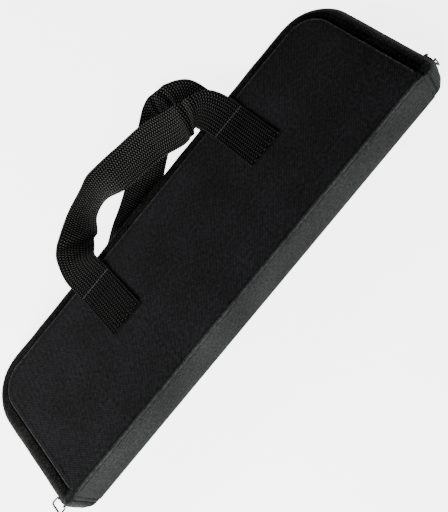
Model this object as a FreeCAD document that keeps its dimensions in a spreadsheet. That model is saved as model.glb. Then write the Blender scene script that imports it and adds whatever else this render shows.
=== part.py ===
"""Zippered carrying case for a folded music stand, about 47 cm long, with two webbing handles.

The case lies on its back cover. +X is its long axis, +Y points from the spine to the handle
side and +Z points up, through the front cover. The origin is the centre of the back cover's
outer face. Millimetres throughout.
"""

import FreeCAD, Part

import math
import os

import Sketcher

Vector = FreeCAD.Vector

DIMENSIONS = [
    # whole case
    ("case_length", 470.0),
    ("case_width", 147.0),
    ("case_depth", 40.0),
    ("corner_radius", 28.0),
    ("spine_corner_radius", 6.0),
    # layers of a cover, from outside to inside
    ("skin_thickness", 1.0),
    ("foam_thickness", 3.0),
    ("board_thickness", 1.8),
    ("lining_thickness", 0.8),
    ("layer_clearance", 0.1),
    ("binding_width", 4.0),
    ("binding_thickness", 0.8),
    # creases along the spine
    ("crease_radius", 1.5),
    ("crease_gap", 0.3),
    ("spine_layer_gap", 0.7),
    # zip band
    ("rim_step", 3.0),
    ("groove_width", 3.0),
    ("gusset_thickness", 1.2),
    ("seam_gap", 0.1),
    ("zip_slot_half", 4.0),
    ("tape_thickness", 0.6),
    ("tape_width", 9.0),
    ("teeth_slit_half", 0.5),
    ("teeth_width", 2.4),
    ("teeth_thickness", 2.2),
    ("teeth_depth", 0.4),
    ("stop_length", 2.4),
    # fabric tabs that close the zip ends
    ("tab_length", 9.5),
    ("tab_gap", 0.3),
    ("tab_end_depth", 10.0),
    ("tab_shoulder_depth", 15.0),
    ("tab_shoulder_length", 3.5),
    ("tab_thickness", 1.2),
    # webbing handles
    ("webbing_width", 40.0),
    ("webbing_thickness", 1.6),
    ("webbing_gap", 0.3),
    ("handle_spacing", 200.0),
    ("handle_offset", 5.0),
    ("patch_length", 60.0),
    ("exit_setback", 7.5),
    ("slot_side_gap", 1.0),
    # zip sliders and their wire pulls
    ("slider_length", 11.0),
    ("slider_width", 9.0),
    ("slider_plate", 1.2),
    ("slider_gap", 0.6),
    ("slider_neck", 0.6),
    ("slider_neck_length", 4.0),
    ("lug_length", 1.5),
    ("lug_height", 2.6),
    ("lug_width", 3.0),
    ("pull_wire_radius", 0.6),
    ("pull_bore_gap", 0.05),
    ("pull_width", 14.0),
    ("pull_depth", 8.0),
]

doc = FreeCAD.newDocument("music_stand_case")
sheet = doc.addObject("Spreadsheet::Sheet", "dims")
for row, (alias, number) in enumerate(DIMENSIONS, 1):
    sheet.set(f"A{row}", alias)
    sheet.set(f"B{row}", str(number))
    sheet.setAlias(f"B{row}", alias)
doc.recompute()

# Places that several pieces share, as expressions of the sheet's cells.
LENGTH_HALF = "dims.case_length / 2"
HANDLE_EDGE = "dims.case_width / 2"
SPINE_FACE = "-dims.case_width / 2"
MIDDLE = "dims.case_depth / 2"
CREASE_Y = f"({SPINE_FACE} + dims.crease_radius)"
COVER_LOW = f"({CREASE_Y} + dims.crease_radius + dims.crease_gap)"
STACK = "(dims.skin_thickness + dims.foam_thickness + dims.board_thickness + dims.lining_thickness)"
BEND = "(dims.case_depth / 2 - dims.rim_step)"
BULGE = f"(dims.groove_width + {BEND})"
ZIP_START = f"({SPINE_FACE} + dims.tab_length)"
TEETH_START = f"({ZIP_START} + dims.stop_length + 2 * dims.tab_gap)"
EXIT_SEAM = f"({HANDLE_EDGE} - dims.exit_setback)"
SLIDER_Y = f"({TEETH_START} + dims.slider_length / 2)"
PULL_AXIS = f"({BULGE} + dims.slider_gap + dims.slider_plate + dims.lug_height / 2)"

nodes = []


def value(expression):
    """The number that an expression of the sheet's cells gives."""
    return float(sheet.evalExpression(expression))


def keep(feature, name):
    """Names a finished sub-part and lists it for export."""
    feature.Label = name
    nodes.append(feature)
    return feature


def face_z(side, low, thickness):
    """Lower z of a layer that starts low inside the outer face of the back or front cover."""
    if side == "back":
        return f"{low}"
    return f"dims.case_depth - ({low}) - ({thickness})"


def half_z(side, distance):
    """Height of a line at a distance from the zip's middle plane."""
    sign = "-" if side == "back" else "+"
    return f"{MIDDLE} {sign} ({distance})"


def new_body(name):
    body = doc.addObject("PartDesign::Body", name)
    return body


def sketch_on(body, role, offset, name):
    """A sketch on one of the body's own origin planes, moved along the plane's normal."""
    sketch = body.newObject("Sketcher::SketchObject", name)
    plane = [item for item in body.Origin.OriginFeatures if item.Role == role][0]
    sketch.AttachmentSupport = (plane, [""])
    sketch.MapMode = "FlatFace"
    sketch.setExpression("AttachmentOffset.Base.z", offset)
    return sketch


def fix_point(sketch, geometry, end, x, y):
    """Ties one end of a sketch line or arc to a place given by two expressions."""
    index = sketch.addConstraint(Sketcher.Constraint("DistanceX", -1, 1, geometry, end, value(x)))
    sketch.setExpression(f"Constraints[{index}]", x)
    index = sketch.addConstraint(Sketcher.Constraint("DistanceY", -1, 1, geometry, end, value(y)))
    sketch.setExpression(f"Constraints[{index}]", y)


def fix_radius(sketch, geometry, radius):
    index = sketch.addConstraint(Sketcher.Constraint("Radius", geometry, value(radius)))
    sketch.setExpression(f"Constraints[{index}]", radius)


def profile(sketch, points, arcs=None, closed=True):
    """Draws lines between points; arcs maps a segment's number to its radius and turn (+1 or -1)."""
    arcs = arcs or {}
    places = [Vector(value(x), value(y), 0) for x, y in points]
    count = len(points) if closed else len(points) - 1
    starts = []
    for number in range(count):
        a = places[number]
        b = places[(number + 1) % len(places)]
        if number not in arcs:
            starts.append((sketch.addGeometry(Part.LineSegment(a, b), False), 1, 2))
            continue
        radius, turn = value(arcs[number][0]), arcs[number][1]
        half = (b - a) * 0.5
        rise = math.sqrt(max(radius * radius - half.Length * half.Length, 0.0))
        across = Vector(-half.y, half.x, 0).normalize()
        centre = a + half + across * (rise * turn)
        circle = Part.Circle(centre, Vector(0, 0, 1), radius)
        angle_a = math.atan2(a.y - centre.y, a.x - centre.x)
        angle_b = math.atan2(b.y - centre.y, b.x - centre.x)
        if turn > 0:
            arc = sketch.addGeometry(Part.ArcOfCircle(circle, angle_a, angle_b), False)
            starts.append((arc, 1, 2))
        else:
            arc = sketch.addGeometry(Part.ArcOfCircle(circle, angle_b, angle_a), False)
            starts.append((arc, 2, 1))
        fix_radius(sketch, arc, arcs[number][0])
    for number, (geometry, first, last) in enumerate(starts):
        fix_point(sketch, geometry, first, *points[number])
        if number + 1 < len(starts):
            following = starts[number + 1]
            link = Sketcher.Constraint("Coincident", geometry, last, following[0], following[1])
            sketch.addConstraint(link)
        elif closed:
            link = Sketcher.Constraint("Coincident", geometry, last, starts[0][0], starts[0][1])
            sketch.addConstraint(link)
        else:
            fix_point(sketch, geometry, last, *points[number + 1])


def cover_outline(sketch, inset):
    """A cover's outline, set in all round: large corners on the handle side, small at the spine."""
    left, right = f"-{LENGTH_HALF} + {inset}", f"{LENGTH_HALF} - {inset}"
    low, high = f"{COVER_LOW} + {inset}", f"{HANDLE_EDGE} - {inset}"
    small = f"dims.spine_corner_radius - {inset}"
    large = f"dims.corner_radius - {inset}"
    points = [
        (f"{left} + {small}", low), (f"{right} - ({small})", low),
        (right, f"{low} + {small}"), (right, f"{high} - ({large})"),
        (f"{right} - ({large})", high), (f"{left} + {large}", high),
        (left, f"{high} - ({large})"), (left, f"{low} + {small}"),
    ]
    profile(sketch, points, {1: (small, 1), 3: (large, 1), 5: (large, 1), 7: (small, 1)})


def pad(body, sketch, length, name="Pad"):
    feature = body.newObject("PartDesign::Pad", name)
    feature.Profile = sketch
    feature.setExpression("Length", length)
    return feature


def pocket(body, sketch, length, upwards, name="Pocket"):
    """Cuts down from the sketch, or up when asked, and fails if nothing was removed."""
    doc.recompute()
    before = body.Shape.Volume
    feature = body.newObject("PartDesign::Pocket", name)
    feature.Profile = sketch
    feature.Reversed = upwards
    feature.setExpression("Length", length)
    doc.recompute()
    if body.Shape.Volume > before - 1.0:
        raise RuntimeError(f"{body.Name}: {name} removed nothing")
    return feature


def patch_slots(body, depth_from, depth):
    """Pockets in the back cover for the handle's sewn ends, open at the handle edge."""
    for number, sign in enumerate(("-", "+")):
        sketch = sketch_on(body, "XY_Plane", depth_from, f"SlotSketch{number}")
        centre = f"(dims.handle_offset {sign} dims.handle_spacing / 2)"
        half = "(dims.webbing_width / 2 + dims.slot_side_gap)"
        low = f"{EXIT_SEAM} - dims.patch_length - dims.webbing_gap"
        high = f"{HANDLE_EDGE} + dims.slot_side_gap"
        profile(sketch, [
            (f"{centre} - {half}", low), (f"{centre} + {half}", low),
            (f"{centre} + {half}", high), (f"{centre} - {half}", high),
        ])
        pocket(body, sketch, depth, True, f"Slot{number}")


# ---- covers: a skin folded round foam, a stiff board and a lining ----

def cover_skin(side):
    body = new_body(f"{side}_skin")
    outer = sketch_on(body, "XY_Plane", face_z(side, "0", STACK), "Outline")
    cover_outline(outer, "0")
    pad(body, outer, STACK)
    inner_z = STACK if side == "back" else f"dims.case_depth - {STACK}"
    inner = sketch_on(body, "XY_Plane", inner_z, "Inside")
    cover_outline(inner, "dims.skin_thickness")
    pocket(body, inner, f"{STACK} - dims.skin_thickness", side == "front")
    if side == "back":
        patch_slots(body, "0", "dims.webbing_thickness + dims.webbing_gap")
    return keep(body, f"{side}_skin")


def cover_layer(side, name, low, thickness):
    body = new_body(f"{side}_{name}")
    sketch = sketch_on(body, "XY_Plane", face_z(side, low, thickness), "Outline")
    cover_outline(sketch, "(dims.skin_thickness + dims.layer_clearance)")
    pad(body, sketch, thickness)
    if side == "back" and name == "foam":
        depth = "dims.webbing_thickness + dims.webbing_gap - dims.skin_thickness"
        patch_slots(body, "dims.skin_thickness", depth)
    return keep(body, f"{side}_{name}")


def zip_path(body, start):
    """The line of the cover's edge: up one end, along the handle side and down the other end."""
    path = sketch_on(body, "XY_Plane", "0", "Path")
    straight = f"{HANDLE_EDGE} - dims.corner_radius"
    points = [
        (f"-{LENGTH_HALF}", start), (f"-{LENGTH_HALF}", straight),
        (f"-{LENGTH_HALF} + dims.corner_radius", HANDLE_EDGE),
        (f"{LENGTH_HALF} - dims.corner_radius", HANDLE_EDGE),
        (LENGTH_HALF, straight), (LENGTH_HALF, start),
    ]
    profile(path, points, {1: ("dims.corner_radius", -1), 3: ("dims.corner_radius", -1)}, False)
    return path


def swept(side, name, start, points, arcs=None):
    """Carries a section, drawn outwards from the cover's edge, round the zip path."""
    body = new_body(f"{side}_{name}")
    section = sketch_on(body, "XZ_Plane", f"-{start}", "Section")
    placed = [(f"-{LENGTH_HALF} - ({out})", half_z(side, distance)) for out, distance in points]
    turned = {}
    for number, (radius, turn) in (arcs or {}).items():
        turned[number] = (radius, turn if side == "back" else -turn)
    profile(section, placed, turned)
    pipe = body.newObject("PartDesign::AdditivePipe", "Sweep")
    pipe.Profile = section
    pipe.Spine = zip_path(body, start)
    return keep(body, f"{side}_{name}")


def on_bend(radius, distance):
    """How far out a point of the round zip band lies, at a distance from the middle plane."""
    return f"dims.groove_width + sqrt(({radius}) ^ 2 - ({distance}) ^ 2)"


def gusset(side):
    inner = f"{BEND} - dims.gusset_thickness"
    slot = "dims.zip_slot_half"
    points = [
        ("dims.seam_gap", BEND), ("dims.groove_width", BEND),
        (on_bend(BEND, slot), slot), (on_bend(inner, slot), slot),
        ("dims.groove_width", inner), ("dims.seam_gap", inner),
    ]
    return swept(side, "gusset", ZIP_START, points, {1: (BEND, -1), 3: (inner, 1)})


def zip_tape(side):
    outer = f"{BEND} - dims.gusset_thickness - dims.seam_gap"
    inner = f"{outer} - dims.tape_thickness"
    near = "dims.teeth_slit_half + dims.teeth_width + dims.seam_gap"
    far = f"{near} + dims.tape_width"
    points = [
        (on_bend(outer, far), far), (on_bend(outer, near), near),
        (on_bend(inner, near), near), (on_bend(inner, far), far),
    ]
    return swept(side, "zip_tape", ZIP_START, points, {0: (outer, -1), 2: (inner, 1)})


def zip_teeth(side):
    outer = f"{BULGE} - dims.teeth_depth"
    near = "dims.teeth_slit_half"
    far = "dims.teeth_slit_half + dims.teeth_width"
    points = [
        (outer, far), (outer, near),
        (f"{outer} - dims.teeth_thickness", near), (f"{outer} - dims.teeth_thickness", far),
    ]
    return swept(side, "zip_teeth", TEETH_START, points)


def edge_binding(side):
    """Tape over the raw edges of skin and lining, inside the case."""
    top = f"{MIDDLE} - {STACK}"
    points = [
        ("0", top), ("0", f"{top} - dims.binding_thickness"),
        ("-dims.binding_width", f"{top} - dims.binding_thickness"), ("-dims.binding_width", top),
    ]
    return swept(side, "binding", ZIP_START, points)


def block(name, x, y, z, size_x, size_y, size_z):
    """A bound box from its low corner and its three sizes."""
    box = doc.addObject("Part::Box", name)
    for prop, text in (("Length", size_x), ("Width", size_y), ("Height", size_z)):
        box.setExpression(prop, text)
    for prop, text in (("x", x), ("y", y), ("z", z)):
        box.setExpression(f"Placement.Base.{prop}", text)
    return box


def out_x(end, distance, thickness):
    """Lower x of a slab that starts a distance out from the cover's left or right end."""
    if end == "left":
        return f"-{LENGTH_HALF} - ({distance}) - ({thickness})"
    return f"{LENGTH_HALF} + {distance}"


def joined(kind, name, parts):
    fuse = doc.addObject(kind, name)
    if kind == "Part::Compound":
        fuse.Links = parts
    else:
        fuse.Shapes = parts
    return fuse


def zip_stops(side):
    """A crimped stop at each end of the row of teeth."""
    stops = []
    size = "dims.teeth_thickness + 2 * dims.seam_gap"
    width = "dims.teeth_width + dims.seam_gap"
    for end in ("left", "right"):
        x = out_x(end, f"{BULGE} - dims.teeth_depth - dims.teeth_thickness - dims.seam_gap", size)
        near = "dims.teeth_slit_half"
        z = half_z(side, near if side == "front" else f"{near} + {width}")
        y = f"{ZIP_START} + dims.tab_gap"
        stops.append(block(f"{side}_stop_{end}", x, y, z, size, "dims.stop_length", width))
    return keep(joined("Part::Compound", f"{side}_zip_stops", stops), f"{side}_zip_stops")


def handle_patch(side, end):
    """The flat end of the webbing, box-stitched to the cover."""
    sign = "-" if end == "left" else "+"
    x = f"dims.handle_offset {sign} dims.handle_spacing / 2 - dims.webbing_width / 2"
    y = f"{EXIT_SEAM} - dims.patch_length"
    z = "0" if side == "back" else "dims.case_depth"
    name = f"{side}_handle_patch_{end}"
    return keep(block(name, x, y, z, "dims.webbing_width",
                      "dims.patch_length - dims.webbing_gap", "dims.webbing_thickness"), name)


for cover in ("back", "front"):
    cover_skin(cover)
    cover_layer(cover, "foam", "dims.skin_thickness", "dims.foam_thickness")
    cover_layer(cover, "board", "(dims.skin_thickness + dims.foam_thickness)", "dims.board_thickness")
    cover_layer(cover, "lining", f"({STACK} - dims.lining_thickness)", "dims.lining_thickness")
    edge_binding(cover)
    gusset(cover)
    zip_tape(cover)
    zip_teeth(cover)
    zip_stops(cover)
    handle_patch(cover, "left")
    handle_patch(cover, "right")


# ---- spine: a stiffened strip between the two creases ----

def crease_cord(side):
    """A round bead sewn into the crease, on the axis that the covers turn about."""
    cord = doc.addObject("Part::Cylinder", f"{side}_crease_cord")
    cord.Placement.Rotation = FreeCAD.Rotation(Vector(0, 1, 0), 90)
    cord.setExpression("Radius", "dims.crease_radius")
    cord.setExpression("Height", "dims.case_length - 2 * dims.spine_corner_radius")
    cord.setExpression("Placement.Base.x", f"-{LENGTH_HALF} + dims.spine_corner_radius")
    cord.setExpression("Placement.Base.y", CREASE_Y)
    z = "dims.crease_radius" if side == "back" else "dims.case_depth - dims.crease_radius"
    cord.setExpression("Placement.Base.z", z)
    return keep(cord, f"{side}_crease_cord")


def spine_layer(name, depth, thickness, end_gap):
    inset = "0" if name == "skin" else "dims.skin_thickness"
    box = block(f"spine_{name}", f"-{LENGTH_HALF} + {inset}", f"{SPINE_FACE} + {depth}", end_gap,
                f"dims.case_length - 2 * {inset}", thickness, f"dims.case_depth - 2 * ({end_gap})")
    return keep(box, f"spine_{name}")


def tab_section(body, y, depth, radius, thickness, inward, name):
    """One D-shaped cross-section of an end tab, standing out from the end of the case."""
    sketch = sketch_on(body, "XZ_Plane", f"-({y})", name)
    low, high = f"dims.rim_step + {thickness}", f"dims.case_depth - dims.rim_step - {thickness}"
    far, bend = f"{depth} - {thickness}", f"{radius} - {thickness}"
    sign, turn = ("-", -1) if body.Name.endswith("left") else ("", 1)
    points = [
        (inward, low), (f"{far} - ({bend})", low), (far, f"{low} + {bend}"),
        (far, f"{high} - ({bend})"), (f"{far} - ({bend})", high), (inward, high),
    ]
    placed = [(f"{sign}({LENGTH_HALF} + {out})", up) for out, up in points]
    profile(sketch, placed, {1: (bend, turn), 3: (bend, turn)})
    return sketch


def end_tab(end):
    """Folded fabric that closes the zip band's end beside the spine, open towards the band."""
    body = new_body(f"zip_end_tab_{end}")
    gap, wall = "dims.tab_gap", "dims.tab_thickness"
    last = f"{ZIP_START} - {gap}"
    shoulder = f"{SPINE_FACE} + dims.tab_shoulder_length"
    end_radius, round_radius = "(dims.tab_end_depth / 2)", f"({BEND} - 1)"
    outside = [
        tab_section(body, SPINE_FACE, "dims.tab_end_depth", end_radius, "0", gap, "End"),
        tab_section(body, shoulder, "dims.tab_shoulder_depth", end_radius, "0", gap, "Shoulder"),
        tab_section(body, last, BULGE, round_radius, "0", gap, "Mouth"),
    ]
    solid = body.newObject("PartDesign::AdditiveLoft", "Outside")
    solid.Profile = outside[0]
    solid.Sections = outside[1:]
    solid.Ruled = True
    doc.recompute()
    before = body.Shape.Volume
    inside = [
        tab_section(body, f"{SPINE_FACE} + {wall}", "dims.tab_end_depth", end_radius, wall, f"-{wall}", "InEnd"),
        tab_section(body, shoulder, "dims.tab_shoulder_depth", end_radius, wall, f"-{wall}", "InShoulder"),
        tab_section(body, f"{last} + {gap}", BULGE, round_radius, wall, f"-{wall}", "InMouth"),
    ]
    hollow = body.newObject("PartDesign::SubtractiveLoft", "Inside")
    hollow.Profile = inside[0]
    hollow.Sections = inside[1:]
    hollow.Ruled = True
    doc.recompute()
    if body.Shape.Volume > before - 1.0:
        raise RuntimeError(f"{body.Name} was not hollowed")
    return keep(body, f"zip_end_tab_{end}")


crease_cord("back")
crease_cord("front")
spine_layer("skin", "0", "1.2 * dims.skin_thickness", "dims.crease_radius * 2 + dims.crease_gap")
LAYER_END = f"({STACK} + dims.spine_layer_gap)"
spine_layer("board", "1.2 * dims.skin_thickness", "dims.board_thickness", LAYER_END)
spine_layer("foam", "(1.2 * dims.skin_thickness + dims.board_thickness)",
            "dims.foam_thickness - 1", LAYER_END)
spine_layer("lining", "(1.2 * dims.skin_thickness + dims.board_thickness + dims.foam_thickness - 1)",
            "dims.lining_thickness", LAYER_END)
end_tab("left")
end_tab("right")


# ---- webbing handles: one flat strap each, folded where it turns ----

# Each station is the middle of the webbing and the direction across it, from the inner to the
# outer edge. x counts from the middle between the two sewn ends, for ends 200 mm apart; y from
# the cover's handle edge; z from the cover's outer face, upwards.
FRONT_STATIONS = [
    ((100, -7.2, 1.1), (1, 0, 0)), ((99, 6.5, 1.1), (1, 0, 0)),
    ((93, 30.5, -1), (40, 27, 3)), ((81, 36.5, -2.5), (30, 36, 9)),
    ((65, 45.5, -8), (16, 35, 16)), ((40, 57.5, -10), (12, 35, 20)),
    ((8, 65.5, -10.5), (3, 35, 19)), ((-15, 71, -11), (-6, 28, 25)),
    ((-43, 80, -15), (-5, 2, 34)), ((-62, 71, -11), (-6, 3, 32)),
    ((-79, 57.5, -8), (-15, 10, 30)), ((-91, 48, -4), (-25, 8, 24)),
    ((-97.5, 33, -1.5), (-33, 12, 11)), ((-101, 15.5, 1.1), (-39, 5, 1)),
    ((-100, -7.2, 1.1), (-1, 0, 0)),
]
BACK_STATIONS = [
    ((100, -7.2, 0.8), (1, 0, 0)), ((100, 2.5, 0.8), (1, 0, 0)), ((100, 24, 3.2), (1, 0, 0)),
    ((96.5, 53.5, 11), (39, 4, 0)), ((94, 74.5, 17.5), (38, 25, 6)),
    ((82.5, 85.5, 19), (22, 38, 7)), ((67, 91, 18), (2, 40, 5)),
    ((51, 81.5, 15), (-15, 33, 5)), ((24.5, 67.5, 11), (-22, 33, 3)),
    ((-5, 53, 7.5), (-22, 33, 2)), ((-25, 44, 5), (-22, 33, 1)),
    ((-45, 34.5, 3), (-21, 33, 0)), ((-63.5, 24.5, 1.6), (-22, 32, 0)),
    ((-85, 15.5, 0.9), (-31, 22, 0)), ((-99, 6.5, 0.8), (-39, 6, 0)),
    ((-100, -7.2, 0.8), (-1, 0, 0)),
]


def handle(side, stations):
    """A strap of constant width and thickness through the stations, each a flat rectangle."""
    width, thick = value("dims.webbing_width"), value("dims.webbing_thickness")
    stretch = value("dims.handle_spacing") / 200.0
    base = Vector(value("dims.handle_offset"), value(HANDLE_EDGE),
                  value("dims.case_depth") if side == "front" else 0.0)
    setback = value("dims.exit_setback") - 7.5
    middles = []
    for number, (place, _) in enumerate(stations):
        moved = -setback if number in (0, len(stations) - 1) else 0.0
        middles.append(base + Vector(place[0] * stretch, place[1] + moved, place[2]))
    sections = []
    for number, middle in enumerate(middles):
        before = middles[max(number - 1, 0)]
        after = middles[min(number + 1, len(middles) - 1)]
        across = Vector(*stations[number][1]).normalize()
        if number in (0, len(stations) - 1):
            normal = Vector(0, 0, 1)
        else:
            normal = across.cross(after - before).normalize()
        w, t = across * (width / 2), normal * (thick / 2)
        corners = [middle + w + t, middle + w - t, middle - w - t, middle - w + t]
        sections.append(Part.makePolygon(corners + corners[:1]))
    strap = doc.addObject("Part::Feature", f"{side}_handle")
    strap.Shape = Part.makeLoft(sections, True, True)
    return keep(strap, f"{side}_handle")


handle("front", FRONT_STATIONS)
handle("back", BACK_STATIONS)


# ---- zip sliders, each with a wire loop that hinges in two lugs ----

def slider(end):
    inner = f"{BULGE} - dims.teeth_depth - dims.teeth_thickness - dims.slider_gap - dims.slider_plate"
    outer = f"({BULGE} - dims.teeth_depth + dims.slider_gap)"
    z = half_z("back", "dims.slider_width / 2")
    low = f"{SLIDER_Y} - dims.slider_length / 2"
    parts = [
        block(f"{end}_outer_plate", out_x(end, outer, "dims.slider_plate"), low, z,
              "dims.slider_plate", "dims.slider_length", "dims.slider_width"),
        block(f"{end}_inner_plate", out_x(end, inner, "dims.slider_plate"), low, z,
              "dims.slider_plate", "dims.slider_length", "dims.slider_width"),
        block(f"{end}_neck",
              out_x(end, f"{inner} + dims.slider_plate / 2", f"{outer} - ({inner})"),
              f"{SLIDER_Y} - dims.slider_neck_length / 2", half_z("back", "dims.slider_neck / 2"),
              f"{outer} - ({inner})", "dims.slider_neck_length", "dims.slider_neck"),
    ]
    lug_out = f"{outer} + dims.slider_plate - 0.1"
    for number, low_lug in enumerate((low, f"{low} + dims.slider_length - dims.lug_length")):
        parts.append(block(f"{end}_lug_{number}", out_x(end, lug_out, "dims.lug_height + 0.5"), low_lug,
                           half_z("back", "dims.lug_width / 2"), "dims.lug_height + 0.5",
                           "dims.lug_length", "dims.lug_width"))
    whole = joined("Part::MultiFuse", f"{end}_slider_body", parts)
    bore = doc.addObject("Part::Cylinder", f"{end}_lug_bore")
    bore.Placement.Rotation = FreeCAD.Rotation(Vector(1, 0, 0), -90)
    bore.setExpression("Radius", "dims.pull_wire_radius + dims.pull_bore_gap")
    bore.setExpression("Height", "dims.slider_length + 2")
    bore.setExpression("Placement.Base.x", out_x(end, PULL_AXIS, "0"))
    bore.setExpression("Placement.Base.y", f"{low} - 1")
    bore.setExpression("Placement.Base.z", MIDDLE)
    cut = doc.addObject("Part::Cut", f"slider_{end}")
    cut.Base = whole
    cut.Tool = bore
    return keep(cut, f"slider_{end}")


def wire_pull(end):
    """A bent wire whose two feet point at each other in the slider's lugs."""
    radius = value("dims.pull_wire_radius")
    bend = 3 * radius
    half, depth = value("dims.pull_width") / 2, value("dims.pull_depth")
    foot = value("dims.slider_length") / 2 - value("dims.lug_length") - 0.2
    corners = [(0, -foot), (0, -half), (depth, -half), (depth, half), (0, half), (0, foot)]
    edges = []
    last = Vector(corners[0][0], corners[0][1], 0)
    for before, corner, after in zip(corners, corners[1:], corners[2:]):
        spot = Vector(corner[0], corner[1], 0)
        back = (Vector(before[0], before[1], 0) - spot).normalize()
        ahead = (Vector(after[0], after[1], 0) - spot).normalize()
        start, stop = spot + back * bend, spot + ahead * bend
        middle = spot + (back + ahead) * (bend * (1 - math.sqrt(0.5)))
        edges.append(Part.LineSegment(last, start).toShape())
        edges.append(Part.Arc(start, middle, stop).toShape())
        last = stop
    edges.append(Part.LineSegment(last, Vector(corners[-1][0], corners[-1][1], 0)).toShape())
    first = Part.Circle(Vector(0, -foot, 0), Vector(0, 1, 0), radius).toShape()
    loop = doc.addObject("Part::Feature", f"pull_{end}")
    loop.Shape = Part.Wire(edges).makePipeShell([Part.Wire([first])], True, False)
    turn = FreeCAD.Rotation(Vector(0, 0, 1), 180)
    if end == "right":
        turn = FreeCAD.Rotation(Vector(0, 1, 0), 90)
    x = value(out_x(end, PULL_AXIS, "0"))
    loop.Placement = FreeCAD.Placement(Vector(x, value(SLIDER_Y), value(MIDDLE)), turn)
    return keep(loop, f"pull_{end}")


for zip_end in ("left", "right"):
    slider(zip_end)
    wire_pull(zip_end)


# ---- checks and export ----

doc.recompute()
for item in doc.Objects:
    if "Invalid" in item.State or "Error" in item.State:
        raise RuntimeError(f"{item.Name} failed: {item.State}")
for node in nodes:
    if node.Shape.isNull() or not node.Shape.isValid() or not node.Shape.Solids:
        raise RuntimeError(f"{node.Label} has no valid solid")
    if node.Shape.Volume <= 0:
        raise RuntimeError(f"{node.Label} is inside out")

os.makedirs("parts", exist_ok=True)
for node in nodes:
    node.Shape.exportStep(os.path.join("parts", f"{node.Label}.step"))
    box = node.Shape.BoundBox
    print(f"{node.Label}: {len(node.Shape.Solids)} solid(s), {node.Shape.Volume:.0f} mm3,"
          f" x {box.XMin:.1f}..{box.XMax:.1f} y {box.YMin:.1f}..{box.YMax:.1f}"
          f" z {box.ZMin:.1f}..{box.ZMax:.1f}")
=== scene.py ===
"""Zippered carrying case for a folding music stand: black canvas covers, a flat spine, a rounded
zip band and two webbing handles. Metres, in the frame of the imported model: +X along the case,
+Y towards the handles, +Z up. The file follows the case as it is sewn together."""

import math

import bmesh
import bpy
import numpy as np
from mathutils import Matrix, Vector


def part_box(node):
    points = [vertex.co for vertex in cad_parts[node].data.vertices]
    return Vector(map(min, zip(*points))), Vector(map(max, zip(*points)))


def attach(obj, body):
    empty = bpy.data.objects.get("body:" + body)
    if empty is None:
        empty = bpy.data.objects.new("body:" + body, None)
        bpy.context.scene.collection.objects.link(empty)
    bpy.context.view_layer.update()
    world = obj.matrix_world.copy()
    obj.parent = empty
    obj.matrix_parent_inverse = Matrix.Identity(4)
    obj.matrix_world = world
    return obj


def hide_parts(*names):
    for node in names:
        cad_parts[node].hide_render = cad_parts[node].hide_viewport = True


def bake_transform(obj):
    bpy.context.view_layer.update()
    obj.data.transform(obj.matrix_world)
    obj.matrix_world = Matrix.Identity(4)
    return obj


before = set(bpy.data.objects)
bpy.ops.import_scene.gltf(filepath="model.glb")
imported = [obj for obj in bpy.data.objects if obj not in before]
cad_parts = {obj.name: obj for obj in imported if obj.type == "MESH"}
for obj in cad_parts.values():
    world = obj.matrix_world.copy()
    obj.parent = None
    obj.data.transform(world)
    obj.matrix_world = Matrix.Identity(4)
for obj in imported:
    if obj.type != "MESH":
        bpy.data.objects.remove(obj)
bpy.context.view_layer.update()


# ---- Camera: a product shot from above the spine, turned so that the case lies steeply ----
# A long lens about 0.76 m from the case, leaning to one side, with the frame shifted to suit.
CAMERA_PLACE = Vector((0.0628, -0.4408, 0.6202))
CAMERA_RIGHT = Vector((0.6360, -0.6123, -0.4697)).normalized()
CAMERA_AHEAD = Vector((-0.0488, 0.5756, -0.8163)).normalized()
camera_up = CAMERA_RIGHT.cross(CAMERA_AHEAD)
bpy.ops.object.camera_add()
camera = bpy.context.object
camera.matrix_world = Matrix((
    (CAMERA_RIGHT.x, camera_up.x, -CAMERA_AHEAD.x, CAMERA_PLACE.x),
    (CAMERA_RIGHT.y, camera_up.y, -CAMERA_AHEAD.y, CAMERA_PLACE.y),
    (CAMERA_RIGHT.z, camera_up.z, -CAMERA_AHEAD.z, CAMERA_PLACE.z),
    (0, 0, 0, 1)))
camera.data.sensor_width = 36.0
camera.data.lens = 56.45
camera.data.shift_x = -0.0240
camera.data.shift_y = -0.0366
camera.data.clip_start = 0.01
bpy.context.scene.camera = camera


# ---- Studio: a pale floor just under the case, a pale sky and soft lights ----
# The paper is lit from below, as on a light table, so the dark cloth stands on plain white.
def linear(hex_colour):
    """An sRGB hex colour as the linear colour that shaders use."""
    parts = [int(hex_colour[i:i + 2], 16) / 255 for i in (1, 3, 5)]
    return [p / 12.92 if p <= 0.04045 else ((p + 0.055) / 1.055) ** 2.4 for p in parts] + [1.0]


def fill(node, inputs):
    """Fills a node's sockets with values, or with links from other nodes."""
    for socket, source in inputs.items():
        if isinstance(source, bpy.types.Node):
            source = source.outputs[0]
        if isinstance(source, bpy.types.NodeSocket):
            node.id_data.links.new(source, node.inputs[socket])
        else:
            node.inputs[socket].default_value = source


def add_node(tree, kind, inputs=None, stops=(), **settings):
    """Adds a node with its settings, its colour stops and its inputs."""
    node = tree.nodes.new("ShaderNode" + kind)
    for key, setting in settings.items():
        setattr(node, key, setting)
    for number, (position, colour) in enumerate(stops):
        node.color_ramp.elements[number].position = position
        node.color_ramp.elements[number].color = linear(colour)
    fill(node, inputs or {})
    return node


bpy.ops.mesh.primitive_plane_add(size=6, location=(0, 0, -0.0006))
floor = bpy.context.object
floor.name = "studio_floor"
paper = bpy.data.materials.new("matt_backdrop_paper")
paper.use_nodes = True
fill(paper.node_tree.nodes["Principled BSDF"], {
    "Base Color": linear("#f4f4f4"), "Roughness": 0.9, "Emission Color": linear("#ffffff"),
    "Emission Strength": 4.4})
floor.data.materials.append(paper)

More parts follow.
